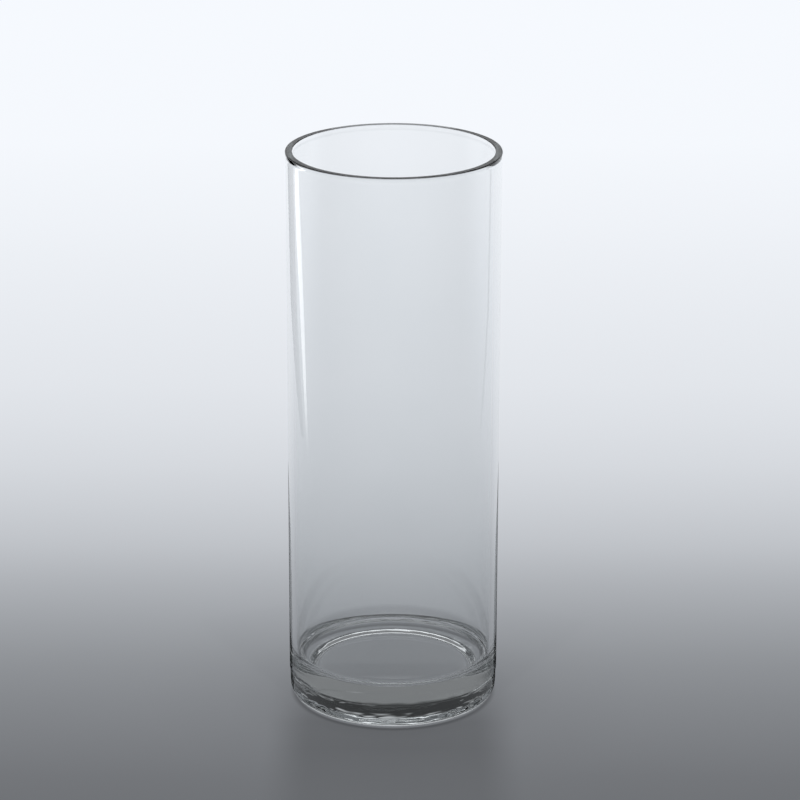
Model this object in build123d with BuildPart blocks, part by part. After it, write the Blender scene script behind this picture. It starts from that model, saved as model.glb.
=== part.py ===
"""Glass cylinder vase: a straight clear wall with a fire-polished rim, closed by a heavy glass base.

Millimetres, +Z up. The origin is the centre of the circle that the foot stands on.
"""
import os

from build123d import *

# Driving dimensions
wall_diameter = 100.0
vase_height = 270.0
wall_thickness = 3.4

# Rim: the last few millimetres lean out a little, with a flat fire-polished top and softened edges
lip_height = 3.0
lip_lean = 0.3
rim_edge_radius = 0.45

# Inside of the base
floor_level = 20.3
inner_corner_radius = 5.5

# Heel: a shallow step where the body mould met the bottom plate, a slight draft, a rounded foot
heel_top = 13.3
heel_step_height = 1.3
heel_step_depth = 0.22
heel_draft = 0.5
foot_corner_radius = 5.0

# Underside: a hollow inside the foot ring, with a ceiling that sags towards its centre
ring_inner_radius = 43.0
ceiling_radius = 34.5
ceiling_edge_height = 2.0
ceiling_centre_height = 1.4

# Worked out from the dimensions above
outer_radius = wall_diameter / 2
inner_radius = outer_radius - wall_thickness
seam_level = floor_level + inner_corner_radius
lip_start = vase_height - lip_height
heel_bottom = heel_top - heel_step_height
heel_radius = outer_radius - heel_step_depth
foot_radius = heel_radius - heel_draft


def build_cylinder_wall():
    """The straight tube, from the seam above the inner corner up to the rim."""
    with BuildPart() as cylinder_wall:
        with BuildSketch(Plane.XZ) as wall_profile:
            with BuildLine():
                Polyline(
                    (inner_radius, lip_start),
                    (inner_radius, seam_level),
                    (outer_radius, seam_level),
                    (outer_radius, lip_start),
                )
                Spline(
                    (outer_radius, lip_start),
                    (outer_radius + lip_lean, vase_height),
                    tangents=[(0, 1), (0, 1)],
                )
                Line((outer_radius + lip_lean, vase_height), (inner_radius + lip_lean, vase_height))
                Spline(
                    (inner_radius + lip_lean, vase_height),
                    (inner_radius, lip_start),
                    tangents=[(0, -1), (0, -1)],
                )
            make_face()
            fillet(wall_profile.vertices().group_by(Axis.Y)[-1], rim_edge_radius)
        revolve(axis=Axis.Z)
    cylinder_wall.part.label = "cylinder_wall"
    return cylinder_wall.part


def build_base():
    """The heavy bottom: thick floor, rounded inner corner, stepped heel, rounded foot, hollow underside."""
    with BuildPart() as base:
        with BuildSketch(Plane.XZ) as base_profile:
            with BuildLine():
                Line((0, ceiling_centre_height), (0, floor_level))
                Line((0, floor_level), (inner_radius - inner_corner_radius, floor_level))
                TangentArc(
                    (inner_radius - inner_corner_radius, floor_level),
                    (inner_radius, seam_level),
                    tangent=(1, 0),
                )
                Polyline(
                    (inner_radius, seam_level),
                    (outer_radius, seam_level),
                    (outer_radius, heel_top),
                )
                Spline(
                    (outer_radius, heel_top),
                    (heel_radius, heel_bottom),
                    tangents=[(0, -1), (0, -1)],
                )
                Polyline((heel_radius, heel_bottom), (foot_radius, 0), (ring_inner_radius, 0))
                Spline(
                    (ring_inner_radius, 0),
                    (ceiling_radius, ceiling_edge_height),
                    tangents=[(-1, 0), (-1, 0)],
                )
                TangentArc(
                    (0, ceiling_centre_height),
                    (ceiling_radius, ceiling_edge_height),
                    tangent=(1, 0),
                )
            make_face()
            fillet(base_profile.vertices().group_by(Axis.Y)[0].sort_by(Axis.X)[-1], foot_corner_radius)
        revolve(axis=Axis.Z)
    base.part.label = "base"
    return base.part


os.makedirs("parts", exist_ok=True)
for piece in (build_cylinder_wall(), build_base()):
    export_step(piece, f"parts/{piece.label}.step")
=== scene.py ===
import math

import bmesh
import bpy
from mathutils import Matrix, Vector, noise

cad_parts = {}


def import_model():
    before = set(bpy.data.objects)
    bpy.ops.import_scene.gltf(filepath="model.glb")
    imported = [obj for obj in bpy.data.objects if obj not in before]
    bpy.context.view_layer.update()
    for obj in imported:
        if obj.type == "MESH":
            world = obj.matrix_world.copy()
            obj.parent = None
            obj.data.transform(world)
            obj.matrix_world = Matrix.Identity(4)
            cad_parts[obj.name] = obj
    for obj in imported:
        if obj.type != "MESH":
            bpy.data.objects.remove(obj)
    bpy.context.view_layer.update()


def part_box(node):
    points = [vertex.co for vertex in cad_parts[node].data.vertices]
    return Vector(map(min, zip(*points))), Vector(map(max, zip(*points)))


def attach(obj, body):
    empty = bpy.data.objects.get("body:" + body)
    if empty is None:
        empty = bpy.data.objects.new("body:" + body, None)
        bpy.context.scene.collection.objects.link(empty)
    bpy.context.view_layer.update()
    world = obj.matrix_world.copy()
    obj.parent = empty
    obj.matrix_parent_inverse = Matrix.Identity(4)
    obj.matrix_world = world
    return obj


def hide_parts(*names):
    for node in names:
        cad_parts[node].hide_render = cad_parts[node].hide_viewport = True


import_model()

wall_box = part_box("cylinder_wall")
base_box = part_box("base")

HEIGHT = wall_box[1][2]
OUTER = base_box[1][0]

# Section of the vase, in metres.
WALL = 0.0034
FLOOR = 0.0203
CORNER = 0.0055
FOOT_CORNER = 0.0050
HEEL_TOP = 0.0133
HEEL_IN = 0.0005
STEP_IN = 0.00022
STEP_HEIGHT = 0.0013
CEILING = 0.0345
CONTACT = 0.0430
RECESS = 0.002
DOME = -0.0006
LIP_HEIGHT = 0.003
LIP_LEAN = 0.0003
RIM_EDGE = 0.00045
SIDES = 384

# Unevenness of the heel and of the rim's top.
WAVE = 0.0001
WAVE_Z = 0.0028
WAVE_A = 5.0
WAVE_INNER = 0.044
WAVE_FOOT = 0.0003
RIM_GRAIN = 0.00002
RIM_GRAIN_A = 25
RIM_GRAIN_R = 900

ABSORB = 16.0

CAM_DISTANCE = 1.55
CAM_HEIGHT = 0.6819
CAM_AIM_Z = 0.1481
CAM_AIM_X = 0.0031
CAM_LENS = 156.1
CAM_ROLL = 0.13

# Sky brightness by elevation in degrees, in front of and behind the vase.
FRONT_SKY = [(0, 0.02), (30, 0.02), (60, 0.40), (90, 0.80)]
BACK_SKY = [
    (0, 1.1), (5, 0.9), (9, 0.6), (13, 0.6), (16, 0.6), (17.8, 0.04), (22.0, 0.04),
    (23.4, 0.25), (41, 0.25), (45, 1.2), (60, 1.3), (70, 0.9), (90, 0.80),
]

# Panels: rows of height on the wall, nearest and farthest bearing, and how far out the panel stands.
CARD = [
    (0.268, 54, 55, 0.36), (0.262, 49, 58, 0.36), (0.235, 52, 62.5, 0.36), (0.200, 59, 67, 0.36),
    (0.137, 70, 73.5, 0.36), (0.115, 73.5, 74.2, 0.36),
]
CARD_GLOW = 3.0
SKIRT = [
    (0.118, 4, 8, 0.11), (0.108, 2, 14, 0.11), (0.085, 1, 24, 0.11), (0.050, 1, 28, 0.11),
    (0.020, 1, 28, 0.04), (0.001, 1, 28, 0.001),
]
FLAG_LEFT = [(0.275, 24, 47, 0.36), (0.262, 25, 45, 0.36), (0.200, 34, 52, 0.36), (0.137, 60, 66, 0.36)]
FLAG_RIGHT = [
    (0.275, 52, 57, 0.36), (0.262, 52.5, 56.5, 0.36), (0.200, 55, 59, 0.36), (0.160, 64, 67.5, 0.36),
    (0.137, 71, 72, 0.36),
]

# Floor glow, all painted light: by distance from the axis, a painted contact shadow round the foot and a
# painted shadow behind it; along Y, a painted shadow in front of the vase and the painted falloff of light
# from front to back.
# Painted contact shadow: a dark ring just outside the foot, fading to a faint shade further out.
SHADOW = [(0, 1.0), (0.046, 1.0), (0.0475, 0.5), (0.0500, 0.86), (0.060, 0.92), (0.08, 0.97), (0.12, 1.0)]
# Painted shadow: a dark crescent on the floor just behind the foot.
BACK_PAINTED_SHADOW = [(0, 1.0), (0.0505, 1.0), (0.0520, 0.10), (0.0580, 0.10), (0.0600, 1.0), (0.1, 1.0)]
# Painted shadow on the floor in front of the vase, darkest just in front of the foot.
FRONT_PAINTED_SHADOW = [(-0.22, 1.0), (-0.16, 0.90), (-0.10, 0.79), (-0.07, 0.69), (-0.04, 0.70), (0.0, 1.0), (0.30, 1.0)]
# Painted falloff of light: the floor's glow along Y, dim in front and bright behind.
FLOOR_PAINTED_FALLOFF = [
    (-2.4, 0.60), (-1.4, 0.45), (-0.7, 0.20), (-0.30, 0.15), (-0.17, 0.150), (-0.104, 0.170),
    (-0.061, 0.201), (-0.016, 0.234), (0.033, 0.279), (0.083, 0.348), (0.137, 0.432), (0.194, 0.538),
    (0.255, 0.616), (0.319, 0.686), (0.388, 0.737), (0.462, 0.779), (0.626, 0.830), (0.816, 0.884),
    (1.038, 0.931), (1.454, 0.940), (2.2, 0.93),
]
SWEEP_HALF = 8.0
SWEEP_DROP = 0.0003


def arc(cx, cz, radius, start, end, steps):
    """Points on a circle's arc, angles in degrees."""
    return [
        (cx + radius * math.cos(math.radians(start + (end - start) * i / steps)),
         cz + radius * math.sin(math.radians(start + (end - start) * i / steps)))
        for i in range(steps + 1)
    ]


def line(a, b, steps):
    """Evenly spaced points from a to b."""
    return [(a[0] + (b[0] - a[0]) * i / steps, a[1] + (b[1] - a[1]) * i / steps) for i in range(steps + 1)]


def vase_profile():
    """The section, from the hollow's middle round the foot, up the outside and down to the floor."""
    inner = OUTER - WALL
    n = 24
    pts = [(CEILING * i / n, RECESS + DOME * (1 - (i / n) ** 2)) for i in range(n + 1)]
    pts += [(CEILING + (CONTACT - CEILING) * i / n, RECESS * (0.5 + 0.5 * math.cos(math.pi * i / n)))
            for i in range(1, n + 1)]
    heel_z = HEEL_TOP - STEP_HEIGHT
    heel_r = OUTER - STEP_IN
    tilt = math.atan(HEEL_IN / heel_z)
    tangent_z = FOOT_CORNER * (1 - math.sin(tilt))
    tangent_r = heel_r - HEEL_IN * (1 - tangent_z / heel_z)
    foot_r = tangent_r - FOOT_CORNER * math.cos(tilt)
    pts += line((CONTACT, 0), (foot_r, 0), 2)[1:]
    pts += arc(foot_r, FOOT_CORNER, FOOT_CORNER, -90, -math.degrees(tilt), 24)[1:]
    pts += line((tangent_r, tangent_z), (heel_r, heel_z), 28)[1:]
    pts += [(heel_r + STEP_IN * (0.5 - 0.5 * math.cos(math.pi * i / 8)), heel_z + STEP_HEIGHT * i / 8)
            for i in range(1, 9)]
    pts += line((OUTER, HEEL_TOP), (OUTER, HEIGHT - LIP_HEIGHT), 60)[1:]
    # Both faces of the lip lean out together.
    n = 16
    top = HEIGHT - RIM_EDGE
    lip_foot = HEIGHT - LIP_HEIGHT
    lip = [(LIP_LEAN * (0.5 - 0.5 * math.cos(math.pi * i / n)), lip_foot + (top - lip_foot) * i / n)
           for i in range(n + 1)]
    pts += [(OUTER + d, z) for d, z in lip[1:]]
    pts += arc(OUTER + LIP_LEAN - RIM_EDGE, top, RIM_EDGE, 0, 90, 10)[1:]
    pts += line((OUTER + LIP_LEAN - RIM_EDGE, HEIGHT), (inner + LIP_LEAN + RIM_EDGE, HEIGHT), 8)[1:]
    pts += arc(inner + LIP_LEAN + RIM_EDGE, top, RIM_EDGE, 90, 180, 10)[1:]
    pts += [(inner + d, z) for d, z in lip[-2::-1]]
    pts += line((inner, HEIGHT - LIP_HEIGHT), (inner, FLOOR + CORNER), 50)[1:]
    pts += arc(inner - CORNER, FLOOR + CORNER, CORNER, 0, -90, 24)[1:]
    pts += line((inner - CORNER, FLOOR), (0, FLOOR), 30)[1:]
    return pts


def lathe(name, profile, sides):
    """A closed mesh turned about Z from a profile of (radius, height) points."""
    bm = bmesh.new()
    rings = []
    for r, z in profile:
        if r < 1e-7:
            rings.append([bm.verts.new((0, 0, z))])
        else:
            turns = [2 * math.pi * k / sides for k in range(sides)]
            rings.append([bm.verts.new((r * math.cos(turn), r * math.sin(turn), z)) for turn in turns])
    for a, b in zip(rings, rings[1:]):
        for k in range(sides):
            j = (k + 1) % sides
            if len(a) == 1:
                bm.faces.new((a[0], b[j], b[k]))
            elif len(b) == 1:
                bm.faces.new((a[k], a[j], b[0]))
            else:
                bm.faces.new((a[k], a[j], b[j], b[k]))
    bmesh.ops.recalc_face_normals(bm, faces=bm.faces)
    mesh = bpy.data.meshes.new(name)
    bm.to_mesh(mesh)
    bm.free()
    for p in mesh.polygons:
        p.use_smooth = True
    obj = bpy.data.objects.new(name, mesh)
    bpy.context.scene.collection.objects.link(obj)
    return obj


def ripple(obj):
    """Small waves on the heel and foot, and a fine grain on the rim's top."""
    for v in obj.data.vertices:
        x, y, z = v.co
        r = math.hypot(x, y)
        if z > HEIGHT - RIM_EDGE / 2:
            grain = noise.noise(Vector((x / r * RIM_GRAIN_A, y / r * RIM_GRAIN_A, r * RIM_GRAIN_R)))
            v.co.z -= RIM_GRAIN * (0.5 + grain)
            continue
        if r < WAVE_INNER or z > HEEL_TOP or z < WAVE_FOOT:
            continue
        window = min(1, z / 0.002) * min(1, (HEEL_TOP - z) / 0.0008)
        a = math.atan2(y, x)
        u = Vector((math.cos(a) * WAVE_A, math.sin(a) * WAVE_A, z / WAVE_Z + 0.8 * math.sin(2 * a)))
        d = WAVE * window * (noise.noise(u) + 0.5 * noise.noise(u * 2.1))
        v.co.x += x / r * d
        v.co.y += y / r * d


def glass_material():
    """Clear glass with a faint absorption and a slow cloud of tint and polish."""
    mat = bpy.data.materials.new("clear_glass")
    mat.use_nodes = True
    nodes, links = mat.node_tree.nodes, mat.node_tree.links
    shader = nodes["Principled BSDF"]
    coord = nodes.new("ShaderNodeTexCoord")
    clouds = nodes.new("ShaderNodeTexNoise")
    clouds.inputs["Scale"].default_value = 22.0
    clouds.inputs["Detail"].default_value = 4.0
    links.new(coord.outputs["Object"], clouds.inputs["Vector"])
    tint = ramp_node(nodes, [(0.25, (0.965, 0.975, 0.978, 1)), (0.75, (0.985, 0.99, 0.992, 1))])
    links.new(clouds.outputs["Fac"], tint.inputs["Fac"])
    links.new(tint.outputs["Color"], shader.inputs["Base Color"])
    polish = nodes.new("ShaderNodeMapRange")
    polish.inputs["From Min"].default_value = 0.3
    polish.inputs["From Max"].default_value = 0.8
    polish.inputs["To Min"].default_value = 0.0
    polish.inputs["To Max"].default_value = 0.0025
    links.new(clouds.outputs["Fac"], polish.inputs["Value"])
    links.new(polish.outputs["Result"], shader.inputs["Roughness"])
    shader.inputs["Transmission Weight"].default_value = 1.0
    shader.inputs["IOR"].default_value = 1.52
    absorb = nodes.new("ShaderNodeVolumeAbsorption")
    absorb.inputs["Color"].default_value = (0.86, 0.875, 0.872, 1)
    absorb.inputs["Density"].default_value = ABSORB
    links.new(absorb.outputs["Volume"], nodes["Material Output"].inputs["Volume"])
    return mat


def ramp_node(nodes, stops):
    """A linear colour ramp through the given (position, colour) stops."""
    ramp = nodes.new("ShaderNodeValToRGB")
    ramp.color_ramp.interpolation = "LINEAR"
    el = ramp.color_ramp.elements
    while len(el) > 1:
        el.remove(el[-1])
    el[0].position, el[0].color = stops[0][0], stops[0][1]
    for pos, col in stops[1:]:
        e = el.new(pos)
        e.color = col
    return ramp


def cool(v, tint):
    """A grey of luminance v with a cool tint."""
    return (v * (1 - tint), v, v * (1 + tint * 1.6), 1)


def ranged_ramp(nodes, links, value, stops):
    """A grey ramp over a range of a value, in the value's own units."""
    lo, hi = stops[0][0], stops[-1][0]
    rng = nodes.new("ShaderNodeMapRange")
    rng.inputs["From Min"].default_value = lo
    rng.inputs["From Max"].default_value = hi
    links.new(value, rng.inputs["Value"])
    ramp = ramp_node(nodes, [((at - lo) / (hi - lo), (v, v, v, 1)) for at, v in stops])
    links.new(rng.outputs["Result"], ramp.inputs["Fac"])
    return ramp.outputs["Color"]


def multiply(nodes, links, a, b):
    """The product of two colours."""
    mix = nodes.new("ShaderNodeMix")
    mix.data_type = "RGBA"
    mix.blend_type = "MULTIPLY"
    mix.inputs["Factor"].default_value = 1.0
    links.new(a, mix.inputs[6])
    links.new(b, mix.inputs[7])
    return mix.outputs[2]


def stage():
    """The pale sweep, with the photo's brightness from front to back painted into its glow as a falloff of
    light, and painted shadow round, behind and in front of the foot.
    """
    mesh = bpy.data.meshes.new("sweep")
    bm = bmesh.new()
    bmesh.ops.create_grid(bm, x_segments=8, y_segments=8, size=SWEEP_HALF)
    bm.to_mesh(mesh)
    bm.free()
    obj = bpy.data.objects.new("sweep", mesh)
    obj.location.z = -SWEEP_DROP
    bpy.context.scene.collection.objects.link(obj)
    mat = bpy.data.materials.new("sweep")
    mat.use_nodes = True
    nodes, links = mat.node_tree.nodes, mat.node_tree.links
    shader = nodes["Principled BSDF"]
    shader.inputs["Base Color"].default_value = (0.02, 0.02, 0.02, 1)
    shader.inputs["Roughness"].default_value = 0.8
    shader.inputs["Specular IOR Level"].default_value = 0.0
    coord = nodes.new("ShaderNodeTexCoord")
    sep = nodes.new("ShaderNodeSeparateXYZ")
    links.new(coord.outputs["Object"], sep.inputs[0])
    rng = nodes.new("ShaderNodeMapRange")
    lo, hi = FLOOR_PAINTED_FALLOFF[0][0], FLOOR_PAINTED_FALLOFF[-1][0]
    rng.inputs["From Min"].default_value = lo
    rng.inputs["From Max"].default_value = hi
    links.new(sep.outputs["Y"], rng.inputs["Value"])
    ramp = ramp_node(nodes, [((y - lo) / (hi - lo), cool(v, 0.05 - 0.022 * v)) for y, v in FLOOR_PAINTED_FALLOFF])
    links.new(rng.outputs["Result"], ramp.inputs["Fac"])
    length = nodes.new("ShaderNodeVectorMath")
    length.operation = "LENGTH"
    links.new(coord.outputs["Object"], length.inputs[0])
    # Painted contact shadow round the foot.
    ring = ranged_ramp(nodes, links, length.outputs["Value"], SHADOW)
    # Painted shadow in front of the vase, kept to the vase's width and off the floor under the foot.
    front_shadow = ranged_ramp(nodes, links, sep.outputs["Y"], FRONT_PAINTED_SHADOW)
    beside = nodes.new("ShaderNodeMath")
    beside.operation = "ABSOLUTE"
    links.new(sep.outputs["X"], beside.inputs[0])
    width = nodes.new("ShaderNodeMapRange")
    width.interpolation_type = "SMOOTHSTEP"
    width.inputs["From Min"].default_value = 0.038
    width.inputs["From Max"].default_value = 0.062
    links.new(beside.outputs[0], width.inputs["Value"])
    under = nodes.new("ShaderNodeMapRange")
    under.interpolation_type = "SMOOTHSTEP"
    under.inputs["From Min"].default_value = 0.043
    under.inputs["From Max"].default_value = 0.049
    under.inputs["To Min"].default_value = 1.0
    under.inputs["To Max"].default_value = 0.0
    links.new(length.outputs["Value"], under.inputs["Value"])
    clear = nodes.new("ShaderNodeMath")
    clear.operation = "MAXIMUM"
    links.new(width.outputs["Result"], clear.inputs[0])
    links.new(under.outputs["Result"], clear.inputs[1])
    side = nodes.new("ShaderNodeMix")
    side.data_type = "RGBA"
    links.new(clear.outputs[0], side.inputs["Factor"])
    links.new(front_shadow, side.inputs[6])
    side.inputs[7].default_value = (1, 1, 1, 1)
    color = multiply(nodes, links, ramp.outputs["Color"], ring)
    color = multiply(nodes, links, color, side.outputs[2])
    # Painted shadow behind the foot, laid only on the far side of the vase.
    behind = nodes.new("ShaderNodeMapRange")
    behind.interpolation_type = "SMOOTHSTEP"
    behind.inputs["From Min"].default_value = 0.030
    behind.inputs["From Max"].default_value = 0.044
    links.new(sep.outputs["Y"], behind.inputs["Value"])
    back_shadow_mix = nodes.new("ShaderNodeMix")
    back_shadow_mix.data_type = "RGBA"
    links.new(behind.outputs["Result"], back_shadow_mix.inputs["Factor"])
    back_shadow_mix.inputs[6].default_value = (1, 1, 1, 1)
    links.new(ranged_ramp(nodes, links, length.outputs["Value"], BACK_PAINTED_SHADOW), back_shadow_mix.inputs[7])
    color = multiply(nodes, links, color, back_shadow_mix.outputs[2])
    # The painted light and shade go out as the floor's glow; the floor is no lamp.
    links.new(color, shader.inputs["Emission Color"])
    shader.inputs["Emission Strength"].default_value = 1.0
    obj.data.materials.append(mat)
    return obj


def panel(name, side, rows, glow):
    """A studio panel beside the vase, seen only as a first reflection: side -1 is left, +1 right.

    Each row gives a height on the wall, the two bearings (degrees from +Y) that the wall mirrors there,
    and how far out the panel stands.
    """
    bm = bmesh.new()
    rings = []
    for height, near, far, reach in rows:
        z = max(height - reach * (CAM_HEIGHT - height) / CAM_DISTANCE, 0.0005)
        ring = []
        for bearing in (near, (near + far) / 2, far):
            a = math.radians(bearing)
            facing = (math.pi - a) / 2
            ring.append(bm.verts.new((side * (OUTER * math.sin(facing) + reach * math.sin(a)),
                                      reach * math.cos(a) - OUTER * math.cos(facing), z)))
        rings.append(ring)
    for a, b in zip(rings, rings[1:]):
        for k in range(2):
            bm.faces.new((a[k], a[k + 1], b[k + 1], b[k]))
    mesh = bpy.data.meshes.new(name)
    bm.to_mesh(mesh)
    bm.free()
    obj = bpy.data.objects.new(name, mesh)
    bpy.context.scene.collection.objects.link(obj)
    mat = bpy.data.materials.new(name)
    mat.use_nodes = True
    nodes, links = mat.node_tree.nodes, mat.node_tree.links
    shader = nodes["Principled BSDF"]
    shader.inputs["Base Color"].default_value = (0, 0, 0, 1)
    shader.inputs["Specular IOR Level"].default_value = 0.0
    if glow:
        coord = nodes.new("ShaderNodeTexCoord")
        sep = nodes.new("ShaderNodeSeparateXYZ")
        links.new(coord.outputs["Object"], sep.inputs[0])
        rise = nodes.new("ShaderNodeMapRange")
        rise.interpolation_type = "SMOOTHSTEP"
        rise.inputs["From Min"].default_value = 0.0
        rise.inputs["From Max"].default_value = 0.05
        rise.inputs["To Min"].default_value = glow * 0.25
        rise.inputs["To Max"].default_value = glow
        links.new(sep.outputs["Z"], rise.inputs["Value"])
        shader.inputs["Emission Color"].default_value = (0.97, 0.99, 1.0, 1)
        links.new(rise.outputs["Result"], shader.inputs["Emission Strength"])
    mesh.materials.append(mat)
    obj.visible_camera = False
    obj.visible_transmission = False
    obj.visible_shadow = False


def world():
    """Soft studio light that depends on the elevation, dim in front and bright behind."""
    w = bpy.data.worlds.new("studio")
    bpy.context.scene.world = w
    w.use_nodes = True
    nodes, links = w.node_tree.nodes, w.node_tree.links
    bg = nodes["Background"]
    coord = nodes.new("ShaderNodeTexCoord")
    sep = nodes.new("ShaderNodeSeparateXYZ")
    links.new(coord.outputs["Generated"], sep.inputs[0])
    rng = nodes.new("ShaderNodeMapRange")
    rng.interpolation_type = "SMOOTHSTEP"
    rng.inputs["From Min"].default_value = -0.2
    rng.inputs["From Max"].default_value = 0.5
    links.new(sep.outputs["Y"], rng.inputs["Value"])
    back = ramp_node(nodes, [(math.sin(math.radians(el)), cool(v, 0.02)) for el, v in BACK_SKY])
    links.new(sep.outputs["Z"], back.inputs["Fac"])
    mix = nodes.new("ShaderNodeMix")
    mix.data_type = "RGBA"
    links.new(rng.outputs["Result"], mix.inputs["Factor"])
    front = ramp_node(nodes, [(math.sin(math.radians(el)), cool(v, 0.02)) for el, v in FRONT_SKY])
    links.new(sep.outputs["Z"], front.inputs["Fac"])
    links.new(front.outputs["Color"], mix.inputs[6])
    links.new(back.outputs["Color"], mix.inputs[7])
    links.new(mix.outputs[2], bg.inputs["Color"])
    bg.inputs["Strength"].default_value = 1.0


def camera():
    """The photo's viewpoint, aimed at the vase."""
    data = bpy.data.cameras.new("camera")
    data.lens = CAM_LENS
    data.sensor_width = 36
    data.clip_end = 50
    obj = bpy.data.objects.new("camera", data)
    bpy.context.scene.collection.objects.link(obj)
    eye = Vector((0, -CAM_DISTANCE, CAM_HEIGHT))
    aim = Vector((CAM_AIM_X, 0, CAM_AIM_Z))
    quat = (aim - eye).to_track_quat("-Z", "Y")
    obj.rotation_euler = quat.to_euler()
    obj.rotation_euler.rotate_axis("Z", math.radians(CAM_ROLL))
    obj.location = eye
    bpy.context.scene.camera = obj


camera()
vase = lathe("vase_glass", vase_profile(), SIDES)
ripple(vase)
vase.data.materials.append(glass_material())
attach(vase, "root")
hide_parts("cylinder_wall", "base")
stage()
panel("window_card", -1, CARD, CARD_GLOW)
panel("flag_left", -1, FLAG_LEFT, 0)
panel("flag_right", 1, FLAG_RIGHT, 0)
panel("skirt_left", -1, SKIRT, 0)
panel("skirt_right", 1, SKIRT, 0)
world()

scene = bpy.context.scene
scene.view_settings.view_transform = "Standard"
scene.cycles.max_bounces = 32
scene.cycles.transmission_bounces = 32
scene.cycles.glossy_bounces = 16
